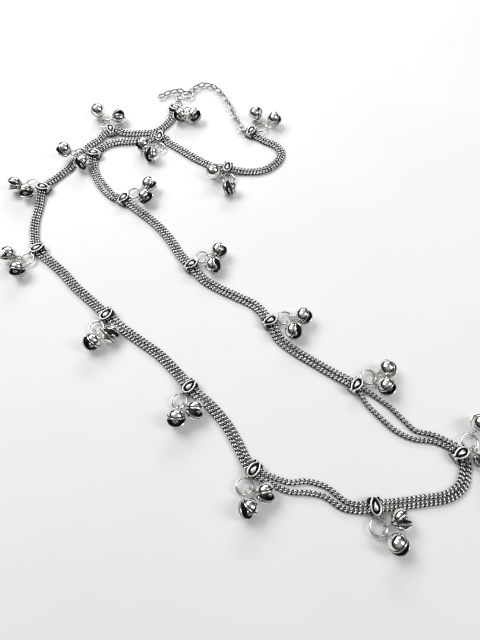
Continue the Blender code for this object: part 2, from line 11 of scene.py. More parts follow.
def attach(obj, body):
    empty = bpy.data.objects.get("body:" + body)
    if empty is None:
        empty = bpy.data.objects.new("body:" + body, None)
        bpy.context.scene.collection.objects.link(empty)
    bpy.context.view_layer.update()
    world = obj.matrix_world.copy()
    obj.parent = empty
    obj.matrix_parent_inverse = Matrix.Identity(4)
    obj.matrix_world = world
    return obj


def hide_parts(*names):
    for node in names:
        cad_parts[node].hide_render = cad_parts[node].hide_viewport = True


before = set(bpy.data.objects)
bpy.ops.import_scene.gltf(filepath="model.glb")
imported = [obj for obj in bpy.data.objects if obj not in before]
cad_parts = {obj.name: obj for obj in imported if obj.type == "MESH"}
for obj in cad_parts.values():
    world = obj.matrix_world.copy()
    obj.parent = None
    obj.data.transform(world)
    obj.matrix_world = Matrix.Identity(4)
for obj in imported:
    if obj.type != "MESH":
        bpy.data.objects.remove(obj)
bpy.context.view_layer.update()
mm = 0.001


def hexColor(code):
    # sRGB hex to the linear colour that a shader takes
    values = [int(code[i:i + 2], 16) / 255 for i in (1, 3, 5)]
    linear = [v / 12.92 if v <= 0.04045 else ((v + 0.055) / 1.055) ** 2.4 for v in values]
    return (*linear, 1.0)


def addNode(tree, kind, settings=None, links=None):
    # one node with its properties, socket values and incoming links
    node = tree.nodes.new(kind)
    for name, value in (settings or {}).items():
        if isinstance(name, str) and hasattr(node, name):
            setattr(node, name, value)
        else:
            node.inputs[name].default_value = value
    for name, source in (links or {}).items():
        tree.links.new(source, node.inputs[name])
    return node


# Silver that was dipped in liver of sulphur and then polished: the high spots are bright and the hollows
# stay nearly black.
# A value from 0 to 1 at each point mixes this oxide with painted shade under things, in creases and between
# parts.
silverFinishes = {
    "oxidisedCurbSilver": {"bright": "#F1F0ED", "dark": "#17171A", "rough": 0.16, "darkRough": 0.5,
                           "shade": 1.0, "grain": 0.35, "scratch": 0.04},
    "oxidisedCastSilver": {"bright": "#F1F0ED", "dark": "#141417", "rough": 0.3, "darkRough": 0.55,
                           "shade": 1.0, "grain": 0.8, "scratch": 0.07},
    "polishedStampedSilver": {"bright": "#F0EFEC", "dark": "#18181B", "rough": 0.07, "darkRough": 0.5,
                              "shade": 1.0, "grain": 1.4, "scratch": 0.05},
    "drawnSilverWire": {"bright": "#DAD9D5", "dark": "#2C2C2E", "rough": 0.12, "darkRough": 0.35,
                        "shade": 0.8, "grain": 0.9, "scratch": 0.05},
}

# What the finishes share: where the darkening by oxide and painted shade sets in, and the hairlines left by
# polishing.
silverWear = {"blotchDepth": 0.3, "blotchDetail": 3.0, "polishedBelow": 0.12, "blackAbove": 0.85,
              "hairTurn": (0.3, 0.5, 0.7), "hairScale": (900, 5200, 5200), "hairDetail": 2.0,
              "reliefStrength": 0.12, "reliefDepth": 0.04}


def silverMaterial(name):
    look = silverFinishes[name]
    material = bpy.data.materials.new(name)
    material.use_nodes = True
    tree = material.node_tree
    shader = tree.nodes["Principled BSDF"]
    shader.inputs["Metallic"].default_value = 1.0
    place = addNode(tree, "ShaderNodeTexCoord")
    # how dark each point is, from oxide and painted shade, from 0 to 1
    tarnish = addNode(tree, "ShaderNodeAttribute", {"attribute_name": "tarnish"})
    # blotches of tarnish, look["grain"] mm across, break up the edge of the polished area
    blotch = addNode(tree, "ShaderNodeTexNoise", {
        "Scale": 1000 / look["grain"], "Detail": silverWear["blotchDetail"]},
        {"Vector": place.outputs["Object"]})
    spread = addNode(tree, "ShaderNodeMath", {
        "operation": "MULTIPLY_ADD", 1: silverWear["blotchDepth"], 2: -silverWear["blotchDepth"] / 2},
        {0: blotch.outputs["Fac"]})
    mixed = addNode(tree, "ShaderNodeMath", {"operation": "ADD"},
                    {0: tarnish.outputs["Fac"], 1: spread.outputs["Value"]})
    edge = addNode(tree, "ShaderNodeMapRange", {
        "interpolation_type": "SMOOTHSTEP", "From Min": silverWear["polishedBelow"],
        "From Max": silverWear["blackAbove"], "To Max": look["shade"]},
        {"Value": mixed.outputs["Value"]})
    color = addNode(tree, "ShaderNodeMix", {"data_type": "RGBA"}, {0: edge.outputs["Result"]})
    color.inputs[6].default_value = hexColor(look["bright"])
    color.inputs[7].default_value = hexColor(look["dark"])
    tree.links.new(color.outputs[2], shader.inputs["Base Color"])
    # fine hairlines from polishing, drawn coarser than the real ones so that they show
    hair = addNode(tree, "ShaderNodeMapping", {
        "Rotation": silverWear["hairTurn"], "Scale": silverWear["hairScale"]},
        {"Vector": place.outputs["Object"]})
    hairline = addNode(tree, "ShaderNodeTexNoise", {"Scale": 1.0, "Detail": silverWear["hairDetail"]},
                       {"Vector": hair.outputs["Vector"]})
    rough = addNode(tree, "ShaderNodeMapRange", {"To Min": look["rough"], "To Max": look["darkRough"]},
                    {"Value": edge.outputs["Result"]})
    worn = addNode(tree, "ShaderNodeMath", {"operation": "MULTIPLY_ADD", 1: look["scratch"] * 2},
                   {0: hairline.outputs["Fac"], 2: rough.outputs["Result"]})
    tree.links.new(worn.outputs["Value"], shader.inputs["Roughness"])
    relief = addNode(tree, "ShaderNodeBump", {
        "Strength": silverWear["reliefStrength"], "Distance": silverWear["reliefDepth"] * mm},
        {"Height": hairline.outputs["Fac"]})
    tree.links.new(relief.outputs["Normal"], shader.inputs["Normal"])
    return material


curbSilver = silverMaterial("oxidisedCurbSilver")
castSilver = silverMaterial("oxidisedCastSilver")
bellSilver = silverMaterial("polishedStampedSilver")
wireSilver = silverMaterial("drawnSilverWire")
print("silver finishes ready")

# The lay of the strands, clamps and bells repeats the source's own route, in millimetres.
layout = {
    "strandOffset": 1.2, "strandHeight": 0.85, "clampHeight": 1.8, "clampLength": 4.2,
    "straight": 0.6, "tail": 3.0, "curveSteps": 12, "eyeletReach": 3.9, "ringReach": 3.45,
    "ringRadius": 3.15, "ringWire": 0.9,
}
# Kind of point, x, y, and how many times strandOffset each strand stands off the middle line.
strandRoute = [
    ("clamp", 15.8, 85.0, 1.0), ("bend", 19.3, 82.7, 1.0), ("bend", 24.3, 79.2, 1.0),
    ("bend", 29.1, 76.3, 1.0), ("bend", 31.9, 71.5, 1.0), ("bend", 30.6, 65.7, 1.0),
    ("bend", 26.4, 60.8, 1.0), ("bend", 20.4, 57.7, 1.0), ("bend", 12.3, 57.3, 1.0),
    ("clamp", 3.3, 58.6, 1.0), ("bend", -5.3, 61.5, 1.0), ("bend", -14.2, 67.0, 1.0),
    ("bend", -23.5, 74.2, 1.0), ("bend", -29.5, 78.7, 1.0),
    ("clamp", -34.0, 81.1, 1.0), ("bend", -41.1, 80.2, 1.0), ("bend", -49.2, 79.5, 1.0),
    ("bend", -56.8, 78.7, 1.0), ("bend", -62.3, 76.7, 1.0), ("bend", -65.8, 73.5, 1.0),
    ("clamp", -68.1, 68.7, 1.0), ("bend", -68.1, 61.9, 1.0), ("bend", -65.8, 55.0, 1.1),
    ("bend", -60.7, 46.7, 1.25), ("bend", -54.7, 40.1, 1.1),
    ("clamp", -49.3, 37.5, 1.0), ("bend", -40.5, 30.6, 1.0), ("bend", -31.5, 22.4, 1.0),
    ("bend", -24.4, 13.6, 1.0), ("bend", -19.2, 5.1, 1.0),
    ("clamp", -13.3, -2.7, 1.0), ("bend", -6.6, -10.1, 1.0), ("bend", 0.9, -14.9, 1.0),
    ("bend", 9.0, -19.1, 1.0), ("bend", 16.8, -23.6, 1.0),
    ("clamp", 22.9, -32.4, 1.0), ("bend", 26.4, -39.4, 1.0), ("bend", 32.2, -45.0, 1.0),
    ("bend", 39.7, -50.1, 1.0), ("bend", 48.2, -55.7, 1.0),
    ("clamp", 57.8, -62.2, 1.0), ("bend", 63.2, -67.6, 2.0), ("bend", 68.6, -72.9, 2.6),
    ("bend", 73.9, -78.5, 2.4), ("bend", 79.3, -82.3, 1.5), ("bend", 86.4, -83.6, 1.15),
    ("bend", 91.8, -86.0, 1.0),
    ("clamp", 95.2, -90.2, 1.0), ("bend", 96.9, -95.2, 1.0), ("bend", 94.4, -101.4, 1.0),
    ("bend", 88.1, -105.7, 1.0), ("bend", 79.0, -107.2, 1.0), ("bend", 69.5, -108.4, 1.0),
    ("clamp", 59.8, -109.3, 1.0), ("bend", 53.7, -109.8, 1.0), ("bend", 48.7, -108.7, 1.15),
    ("bend", 45.2, -106.2, 1.3), ("bend", 41.5, -103.7, 1.5), ("bend", 35.2, -102.3, 1.75),
    ("bend", 28.7, -102.3, 1.4), ("bend", 22.3, -100.0, 1.1),
    ("clamp", 15.2, -96.0, 1.0), ("bend", 11.2, -90.8, 1.0), ("bend", 8.2, -84.7, 1.0),
    ("bend", 4.0, -77.7, 1.0), ("bend", -2.4, -70.2, 1.0),
    ("clamp", -11.0, -62.7, 1.0), ("bend", -17.7, -54.9, 1.0), ("bend", -25.4, -47.3, 1.0),
    ("bend", -33.5, -41.4, 1.0), ("bend", -41.7, -35.3, 1.0),
    ("clamp", -49.4, -28.9, 1.0), ("bend", -57.3, -21.6, 1.0), ("bend", -65.7, -14.0, 1.0),
    ("bend", -73.5, -5.6, 1.0), ("bend", -80.7, 0.9, 1.0),
    ("clamp", -86.8, 6.9, 1.0), ("bend", -90.3, 14.4, 1.0), ("bend", -91.8, 23.6, 1.0),
    ("bend", -91.6, 33.7, 1.0),
    ("clamp", -90.9, 44.9, 1.0), ("bend", -86.4, 52.4, 1.0), ("bend", -80.9, 59.1, 1.0),
    ("bend", -77.2, 66.6, 1.0), ("bend", -72.5, 75.4, 1.0), ("bend", -66.9, 81.3, 1.0),
    ("clamp", -61.3, 86.4, 1.0), ("bend", -53.7, 85.6, 1.0), ("bend", -43.8, 85.7, 1.0),
    ("bend", -38.0, 86.4, 1.0), ("bend", -33.6, 89.5, 1.0), ("bend", -29.5, 95.5, 1.0),
    ("clamp", -27.0, 103.6, 1.0),
]
# For each clamp, the pair of bells on it: the side of the strands, the ring's lift and heading, then
# each bell's heading, roll and lift, in millimetres and degrees.
bellPairs = [
    (1, 0.0, 16, 108, 20, 0.0, 20, 90, 0.0),
    (1, 0.0, -68, 162, 35, 0.0, -86, 10, 0.0),
    (1, 0.0, -85, -172, 90, 0.0, -111, 10, 0.0),
    (-1, 1.7, -158, 190, 90, 2.2, -76, 35, 0.4),
    (1, 0.0, 17, 22, 70, 0.0, -39, 100, 0.0),
    (1, 0.0, 46, 12, 80, 0.0, -49, 145, 0.0),
    (1, 0.0, 0, -4, 90, 0.0, -65, 145, 0.0),
    (1, 0.0, 14, 20, 90, 0.0, -40, 90, 0.0),
    (1, 0.0, 62, 56, 90, 0.0, -71, 60, 0.0),
    (1, 0.0, -87, 16, 10, 0.0, -46, 95, 0.0),
    (1, 0.0, -111, -20, 35, 0.0, -81, 35, 0.0),
    (1, 0.0, -112, -34, 35, 0.0, -93, 90, 0.0),
    (1, 0.0, -113, -31, 5, 0.0, -92, 40, 0.0),
    (1, 0.0, -107, 176, 145, 0.0, -104, 90, 0.0),
    (1, 0.0, 139, 204, 140, 0.0, -95, 90, 0.0),
    (1, 0.0, 145, 122, 90, 0.0, 18, 10, 0.0),
    (-1, 0.0, -6, -118, 60, 0.0, -57, 120, 0.0),
]


def smoothCurve(points, steps):
    # a curve that passes through every point, in as many columns as they have
    rows = [Vector(point) for point in points]
    rows = [rows[0] * 2 - rows[1], *rows, rows[-1] * 2 - rows[-2]]
    found = []
    for index in range(1, len(rows) - 2):
        before, start, end, after = rows[index - 1:index + 3]
        for step in range(steps):
            t = step / steps
            bend = (before * 2 - start * 5 + end * 4 - after) * t * t
            bend += (start * 3 - before - end * 3 + after) * t ** 3
            found.append((start * 2 + (end - before) * t + bend) / 2)
    found.append(rows[-2])
    return found


def clampPlaces():
    # each clamp's point on the surface and the direction of the strands through it
    places = []
    for index, row in enumerate(strandRoute):
        if row[0] == "clamp":
            before = strandRoute[max(index - 1, 0)]
            after = strandRoute[min(index + 1, len(strandRoute) - 1)]
            heading = Vector((after[1] - before[1], after[2] - before[2], 0)).normalized()
            places.append((Vector((row[1], row[2], 0)), heading))
    return places


def strandMiddle(places):
    # the line midway between the strands, straight and raised inside each clamp
    rows = []
    clamps = iter(places)
    for kind, x, y, spread in strandRoute:
        offset = spread * layout["strandOffset"]
        if kind == "bend":
            rows.append((x, y, layout["strandHeight"], offset))
            continue
        place, heading = next(clamps)
        half = layout["clampLength"] / 2 + layout["straight"]
        first = layout["tail"] if not rows else half
        last = layout["tail"] if place == places[-1][0] else half
        for reach in (-first, last):
            point = place + heading * reach
            rows.append((point.x, point.y, layout["clampHeight"], offset))
    return smoothCurve(rows, layout["curveSteps"])


def besideMiddle(middle, side):
    line = []
    for index, row in enumerate(middle):
        ahead = middle[min(index + 1, len(middle) - 1)]
        behind = middle[max(index - 1, 0)]
        along = Vector((ahead[0] - behind[0], ahead[1] - behind[1], 0)).normalized()
        line.append(Vector(row[:3]) + Vector((-along.y, along.x, 0)) * side * row[3])
    return line


# Links along a path: one tree makes the curb strands and the cable extension chain.
curbLinks = {"pitch": 1.7, "linkLength": 3.0, "linkWidth": 2.25, "wire": 0.66, "twistDeg": 105.0,
             "rollDeg": 0.0, "lowShade": 1.0, "innerShade": 1.0, "segments": 12, "sides": 6}
cableLinks = {"pitch": 3.8, "linkLength": 5.15, "linkWidth": 3.35, "wire": 0.8, "twistDeg": 0.0,
              "rollDeg": 90.0, "lowShade": 0.6, "innerShade": 0.9, "segments": 20, "sides": 8}
# Where a link's painted shade begins and where it is full: by height over the link's middle, in
# millimetres, and by how far the wire faces outwards, from 1 to -1. On the oxidised curb it also stands for
# oxide in the hollows.
linkShadeRanges = {"lowBegins": 0.56, "lowFull": 0.22, "innerBegins": 0.2, "innerFull": -0.3}


def addInput(tree, name, kind, value=None):
    socket = tree.interface.new_socket(name, in_out="INPUT", socket_type=kind)
    if value is not None:
        socket.default_value = value


def linkTree():
    tree = bpy.data.node_groups.new("linksAlongPath", "GeometryNodeTree")
    addInput(tree, "path", "NodeSocketGeometry")
    for name in ("pitch", "linkLength", "linkWidth", "wire", "twist", "roll", "lowShade",
                 "innerShade"):
        addInput(tree, name, "NodeSocketFloat")
    addInput(tree, "segments", "NodeSocketInt", 12)
    addInput(tree, "sides", "NodeSocketInt", 6)
    addInput(tree, "finish", "NodeSocketMaterial")
    tree.interface.new_socket("links", in_out="OUTPUT", socket_type="NodeSocketGeometry")
    given = addNode(tree, "NodeGroupInput").outputs

    def value(operation, first, second):
        node = addNode(tree, "ShaderNodeMath", {"operation": operation})
        for slot, item in enumerate((first, second)):
            if isinstance(item, (int, float)):
                node.inputs[slot].default_value = item
            else:
                tree.links.new(item, node.inputs[slot])
        return node.outputs["Value"]

    # one link: a circle stretched to an oval and twisted from end to end
    circle = addNode(tree, "GeometryNodeCurvePrimitiveCircle", {"Radius": 1.0},
                     {"Resolution": given["segments"]})
    point = addNode(tree, "ShaderNodeSeparateXYZ", None,
                    {0: addNode(tree, "GeometryNodeInputPosition").outputs["Position"]})
    halfLength = value("DIVIDE", value("SUBTRACT", given["linkLength"], given["wire"]), 2.0)
    halfWidth = value("DIVIDE", value("SUBTRACT", given["linkWidth"], given["wire"]), 2.0)
    across = value("MULTIPLY", point.outputs["Y"], halfWidth)
    angle = value("MULTIPLY", value("MULTIPLY", point.outputs["X"], -0.5), given["twist"])
    oval = addNode(tree, "ShaderNodeCombineXYZ", None, {
        "X": value("MULTIPLY", point.outputs["X"], halfLength),
        "Y": value("MULTIPLY", across, value("COSINE", angle, 0.0)),
        "Z": value("MULTIPLY", across, value("SINE", angle, 0.0))})
    bent = addNode(tree, "GeometryNodeSetPosition", None,
                   {"Geometry": circle.outputs["Curve"], "Position": oval.outputs["Vector"]})
    section = addNode(tree, "GeometryNodeCurvePrimitiveCircle", None, {
        "Resolution": given["sides"], "Radius": value("DIVIDE", given["wire"], 2.0)})
    wire = addNode(tree, "GeometryNodeCurveToMesh", None, {
        "Curve": bent.outputs["Geometry"], "Profile Curve": section.outputs["Curve"]})
    smooth = addNode(tree, "GeometryNodeSetShadeSmooth", None, {"Geometry": wire.outputs["Mesh"]})
    # painted shade is deepest low down and on the inside of the wire, where the links lie under and between
    # each other
    position = addNode(tree, "GeometryNodeInputPosition").outputs["Position"]
    place = addNode(tree, "ShaderNodeSeparateXYZ", None, {0: position})
    low = addNode(tree, "ShaderNodeMapRange", {
        "From Min": linkShadeRanges["lowBegins"] * mm, "From Max": linkShadeRanges["lowFull"] * mm},
        {"Value": place.outputs["Z"]}).outputs["Result"]
    outwards = addNode(tree, "ShaderNodeVectorMath", {"operation": "NORMALIZE"}, {0: position})
    facing = addNode(tree, "ShaderNodeVectorMath", {"operation": "DOT_PRODUCT"}, {
        0: outwards.outputs["Vector"], 1: addNode(tree, "GeometryNodeInputNormal").outputs["Normal"]})
    inner = addNode(tree, "ShaderNodeMapRange", {
        "From Min": linkShadeRanges["innerBegins"], "From Max": linkShadeRanges["innerFull"]},
        {"Value": facing.outputs["Value"]}).outputs["Result"]
    depth = value("MAXIMUM", value("MULTIPLY", low, given["lowShade"]),
                  value("MULTIPLY", inner, given["innerShade"]))
    named = addNode(tree, "GeometryNodeStoreNamedAttribute", {"Name": "tarnish"}, {
        "Geometry": smooth.outputs["Geometry"], "Value": depth})

    # one link at each step of the path, turned to follow it
    curve = addNode(tree, "GeometryNodeMeshToCurve", None, {"Mesh": given["path"]})
    stepped = addNode(tree, "GeometryNodeResampleCurve", {"mode": "LENGTH"}, {
        "Curve": curve.outputs["Curve"], "Length": given["pitch"]})
    tangent = addNode(tree, "GeometryNodeInputTangent")
    turn = addNode(tree, "FunctionNodeAxesToRotation", {
        "primary_axis": "X", "secondary_axis": "Z", "Secondary Axis": (0.0, 0.0, 1.0)},
        {"Primary Axis": tangent.outputs["Tangent"]})
    index = addNode(tree, "GeometryNodeInputIndex")
    spin = value("MULTIPLY", given["roll"], value("MODULO", index.outputs["Index"], 2.0))
    rolled = addNode(tree, "FunctionNodeAxisAngleToRotation", {"Axis": (1.0, 0.0, 0.0)}, {"Angle": spin})
    both = addNode(tree, "FunctionNodeRotateRotation", {"rotation_space": "LOCAL"}, {
        "Rotation": turn.outputs["Rotation"], "Rotate By": rolled.outputs["Rotation"]})
    copies = addNode(tree, "GeometryNodeInstanceOnPoints", None, {
        "Points": stepped.outputs["Curve"], "Instance": named.outputs["Geometry"],
        "Rotation": both.outputs["Rotation"]})
    real = addNode(tree, "GeometryNodeRealizeInstances", None, {"Geometry": copies.outputs["Instances"]})
    dressed = addNode(tree, "GeometryNodeSetMaterial", None, {
        "Geometry": real.outputs["Geometry"], "Material": given["finish"]})
    addNode(tree, "NodeGroupOutput", None, {"links": dressed.outputs["Geometry"]})
    return tree


def copyTree():
    # copies of one form at points that carry their own turn
    tree = bpy.data.node_groups.new("copiesAtPlaces", "GeometryNodeTree")
    addInput(tree, "places", "NodeSocketGeometry")
    addInput(tree, "form", "NodeSocketObject")
    addInput(tree, "finish", "NodeSocketMaterial")
    tree.interface.new_socket("copies", in_out="OUTPUT", socket_type="NodeSocketGeometry")
    given = addNode(tree, "NodeGroupInput").outputs
    form = addNode(tree, "GeometryNodeObjectInfo", {"transform_space": "ORIGINAL"},
                   {"Object": given["form"]})
    turn = addNode(tree, "GeometryNodeInputNamedAttribute", {"data_type": "QUATERNION", "Name": "turn"})
    copies = addNode(tree, "GeometryNodeInstanceOnPoints", None, {
        "Points": given["places"], "Instance": form.outputs["Geometry"],
        "Rotation": turn.outputs["Attribute"]})
    real = addNode(tree, "GeometryNodeRealizeInstances", None, {"Geometry": copies.outputs["Instances"]})
    dressed = addNode(tree, "GeometryNodeSetMaterial", None, {
        "Geometry": real.outputs["Geometry"], "Material": given["finish"]})
    addNode(tree, "NodeGroupOutput", None, {"copies": dressed.outputs["Geometry"]})
    return tree


links = linkTree()
copies = copyTree()


def grown(name, mesh, tree, values, nodes):
    # runs a tree on the mesh, bakes what it makes and hands the piece to the frame
    source = bpy.data.objects.new(name + "Source", mesh)
    bpy.context.scene.collection.objects.link(source)
    modifier = source.modifiers.new("maker", "NODES")
    modifier.node_group = tree
    for item in tree.interface.items_tree:
        if item.in_out == "INPUT" and item.name in values:
            modifier[item.identifier] = values[item.name]
    source.update_tag()
    graph = bpy.context.evaluated_depsgraph_get()
    baked = bpy.data.meshes.new_from_object(source.evaluated_get(graph))
    bpy.data.objects.remove(source)
    baked.name = name
    piece = bpy.data.objects.new(name, baked)
    bpy.context.scene.collection.objects.link(piece)
    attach(piece, "root")
    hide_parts(*nodes)
    print(name, len(baked.polygons), "faces")


def pathMesh(points):
    mesh = bpy.data.meshes.new("path")
    places = [point * mm for point in points]
    mesh.from_pydata(places, [(i, i + 1) for i in range(len(places) - 1)], [])
    return mesh


def placeMesh(matrices):
    mesh = bpy.data.meshes.new("places")
    mesh.from_pydata([m.translation * mm for m in matrices], [], [])
    turns = mesh.attributes.new("turn", "QUATERNION", "POINT")
    flat = [part for m in matrices for part in m.to_quaternion()]
    turns.data.foreach_set("value", flat)
    return mesh


def linkValues(sizes, finish):
    values = {name: sizes[name] * mm for name in ("pitch", "linkLength", "linkWidth", "wire")}
    values.update(twist=math.radians(sizes["twistDeg"]), roll=math.radians(sizes["rollDeg"]))
    for name in ("lowShade", "innerShade", "segments", "sides"):
        values[name] = sizes[name]
    values["finish"] = finish
    return values


clamps = clampPlaces()
middle = strandMiddle(clamps)
for side, name, node in ((1, "curbStrandLeft", "strand_left"), (-1, "curbStrandRight", "strand_right")):
    mesh = pathMesh(besideMiddle(middle, side))
    grown(name, mesh, links, linkValues(curbLinks, curbSilver), [node])
print("strands linked")

# Edges that turn more than sharpDeg stay crisp, and points nearer than weld millimetres are joined.
smoothing = {"sharpDeg": 50, "weld": 0.0005}


def formObject(name, shape, tarnish):
    # a helper that the copies are made from, in metres, with its darkness from oxide and painted shade set
    # point by point
    mesh = bpy.data.meshes.new(name)
    shape.to_mesh(mesh)
    shape.free()
    mesh.transform(Matrix.Scale(mm, 4))
    mesh.shade_smooth()
    mesh.set_sharp_from_angle(angle=math.radians(smoothing["sharpDeg"]))
    layer = mesh.attributes.new("tarnish", "FLOAT", "POINT")
    layer.data.foreach_set("value", [tarnish(v.co / mm, v.normal) for v in mesh.vertices])
    made = bpy.data.objects.new(name, mesh)
    bpy.context.scene.collection.objects.link(made)
    return made


def addTube(shape, points, radius, sides, closed, ends=None):
    # a round wire; ends is a list of radius shares, one for each point
    rings = []
    normal = None
    count = len(points)
    for index, point in enumerate(points):
        ahead = points[(index + 1) % count] if closed or index < count - 1 else point
        behind = points[index - 1] if closed or index > 0 else point
        along = (ahead - behind).normalized()
        normal = along.orthogonal() if normal is None else normal
        normal = (normal - along * normal.dot(along)).normalized()
        across = along.cross(normal)
        size = radius * (ends[index] if ends else 1.0)
        turns = [2 * math.pi * k / sides for k in range(sides)]
        rings.append([shape.verts.new(point + (normal * math.cos(a) + across * math.sin(a)) * size)
                      for a in turns])
    for index in range(count if closed else count - 1):
        ring, following = rings[index], rings[(index + 1) % count]
        for k in range(sides):
            n = (k + 1) % sides
            shape.faces.new((ring[k], ring[n], following[n], following[k]))
    if not closed:
        shape.faces.new(rings[0][::-1])
        shape.faces.new(rings[-1])


def addRing(shape, radius, wire, matrix, segments, sides):
    turns = [2 * math.pi * k / segments for k in range(segments)]
    points = [matrix @ Vector((math.cos(a) * radius, math.sin(a) * radius, 0)) for a in turns]
    addTube(shape, points, wire / 2, sides, True)


def addBall(shape, radius, place, stretch=(1, 1, 1)):
    made = bmesh.ops.create_uvsphere(shape, u_segments=16, v_segments=10, radius=radius)
    for vertex in made["verts"]:
        vertex.co = Vector((vertex.co.x * stretch[0], vertex.co.y * stretch[1],
                            vertex.co.z * stretch[2])) + Vector(place)


def outward(shape):
    bmesh.ops.remove_doubles(shape, verts=shape.verts, dist=smoothing["weld"])
    bmesh.ops.recalc_face_normals(shape, faces=shape.faces)
    return shape


# A cast clamp: a sleeve round both strands, a sunk face inside a horseshoe of wire, a teardrop
# in the middle, two balls at the open end and an eyelet at the round end.
clampCasting = {"length": 4.2, "width": 6.1, "height": 3.55, "channelWidth": 5.1, "floor": 0.3,
                "channelHeight": 2.8, "bevel": 0.12, "bevelLength": 0.15, "wire": 0.62, "wireSteps": 5,
                "wireSides": 10, "ball": 0.66, "ballApart": 1.06, "ballPast": 0.02, "ballSunk": 0.45,
                "nose": 0.5, "noseInset": 0.05, "noseHeight": 1.9, "noseSize": (0.85, 0.55, 1.4),
                "eyelet": 0.95, "eyeletWire": 0.6, "eyeletSegments": 20, "eyeletSides": 8}
# The horseshoe's points up to its round end, as shares of its own and the casting's half width.
horseshoe = [(-0.34, -0.9), (-0.78, -0.5), (-1.0, 0.0), (-0.98, 0.45), (-0.7, 0.86)]
# The teardrop's levels are a share of its outline and a height over the face.
teardrop = {"width": 1.22, "taper": 0.38, "length": 1.75, "shift": 0.2, "turns": 20,
            "levels": [(1.0, -0.1), (0.97, 0.15), (0.75, 0.38), (0.4, 0.52)]}
# Points along each side of the sleeve's section, closer together at its corners.
cornerShares = (0.06, 0.2, 0.5, 0.8, 0.94)


def addSleeve(shape, size):
    # a tube of rectangular section along X, its outer edges bevelled at both ends
    half, edge = size["length"] / 2, size["width"] / 2
    top, inner = size["height"], size["channelWidth"] / 2
    low, high = size["floor"], size["floor"] + size["channelHeight"]
    outerRow, innerRow = [], []
    corners = [(-edge, 0.0, -inner, low), (edge, 0.0, inner, low), (edge, top, inner, high),
               (-edge, top, -inner, high)]
    for corner, following in zip(corners, corners[1:] + corners[:1]):
        for share in cornerShares:
            y, z, innerY, innerZ = (a + (b - a) * share for a, b in zip(corner, following))
            outerRow.append((y, z))
            innerRow.append((innerY, innerZ))
    count = len(outerRow)
    bevel, shoulder = size["bevel"], half - size["bevelLength"]
    stations = [(-half, bevel), (-shoulder, 0.0), (shoulder, 0.0), (half, bevel)]
    outerRings, innerRings = [], []
    for x, pinch in stations:
        pinched = [(x, y * (1 - pinch / edge), z + (pinch if z < top / 2 else -pinch)) for y, z in outerRow]
        outerRings.append([shape.verts.new(point) for point in pinched])
        innerRings.append([shape.verts.new((x, y, z)) for y, z in innerRow])
    for index in range(len(stations) - 1):
        for k in range(count):
            n = (k + 1) % count
            a, b = outerRings[index], outerRings[index + 1]
            shape.faces.new((a[k], b[k], b[n], a[n]))
            a, b = innerRings[index], innerRings[index + 1]
            shape.faces.new((a[n], b[n], b[k], a[k]))
    for rings in ((outerRings[0], innerRings[0]), (innerRings[-1], outerRings[-1])):
        for k in range(count):
            n = (k + 1) % count
            shape.faces.new((rings[0][k], rings[0][n], rings[1][n], rings[1][k]))


def ballPlace(size):
    # the right-hand ball's middle; the left-hand one mirrors it
    return Vector((size["ball"] * size["ballApart"], -size["width"] / 2 - size["ballPast"],
                   size["height"] - size["ball"] * size["ballSunk"]))


def addHorseshoe(shape, size):
    # a raised wire: open at the balls, round past the sleeve's edge at the eyelet
    edge = size["width"] / 2
    reach = size["length"] / 2 - size["wire"] / 2
    bend = [(x * reach, y * edge) for x, y in horseshoe]
    bend.append((0, edge + size["nose"] / 2))
    bend += [(-x, y) for x, y in reversed(bend[:-1])]
    wirePath = smoothCurve([Vector((x, y, size["height"])) for x, y in bend], size["wireSteps"])
    addTube(shape, wirePath, size["wire"] / 2, size["wireSides"], False)


def addTeardrop(shape, size, top):
    # a low boss that is pointed towards the balls
    rows = []
    turns = size["turns"]
    for share, height in size["levels"]:
        row = []
        for k in range(turns):
            a = 2 * math.pi * k / turns
            x = size["width"] * math.sin(a) * (1 - size["taper"] + size["taper"] * math.cos(a))
            y = size["shift"] + size["length"] * math.cos(a)
            row.append(shape.verts.new((x * share, y * share, top + height)))
        rows.append(row)
    for lower, upper in zip(rows, rows[1:]):
        for k in range(turns):
            n = (k + 1) % turns
            shape.faces.new((lower[k], lower[n], upper[n], upper[k]))
    shape.faces.new(rows[-1])
    shape.faces.new(rows[0][::-1])


def clampForm(size):
    shape = bmesh.new()
    addSleeve(shape, size)
    addHorseshoe(shape, size)
    addTeardrop(shape, teardrop, size["height"])
    across, along, high = ballPlace(size)
    for side in (-1, 1):
        addBall(shape, size["ball"], (side * across, along, high))
    # a nose from the sleeve's edge carries the eyelet
    addBall(shape, 1.0, (0, size["width"] / 2 - size["noseInset"], size["noseHeight"]), size["noseSize"])
    return outward(shape)


# How dark each zone of a casting is, and where the zones end: heights in millimetres, the balls'
# reach as a share of their radius, and the upward part of a normal under which metal is shaded.
# The sunk face is dark with oxide; the undersides of the raised wire and balls and the sleeve's lower half
# are painted shade.
castOxideAndShade = {"raised": 0.0, "undercutShade": 0.7, "ballUnderShade": 0.8, "face": 1.0, "upperSide": 0.5,
               "lowerSideShade": 0.75, "raisedOver": 0.08, "faceDepth": 0.3, "lowerBelow": 1.5,
               "ballReach": 1.05, "wireShaded": 0.1, "ballShaded": -0.2}


def clampOxideAndShade(point, normal):
    # the sunk face stays dark with oxide; painted shade darkens the creases beside the wire, the balls'
    # undersides and the sleeve's lower half
    depth = castOxideAndShade
    top = clampCasting["height"]
    if point.z > top + depth["raisedOver"]:
        return depth["raised"] if normal.z > depth["wireShaded"] else depth["undercutShade"]
    fromBall = Vector((abs(point.x), point.y, point.z)) - ballPlace(clampCasting)
    if fromBall.length < clampCasting["ball"] * depth["ballReach"]:
        return depth["raised"] if normal.z > depth["ballShaded"] else depth["ballUnderShade"]
    if point.z > top - depth["faceDepth"]:
        return depth["face"]
    return depth["upperSide"] if point.z > depth["lowerBelow"] else depth["lowerSideShade"]


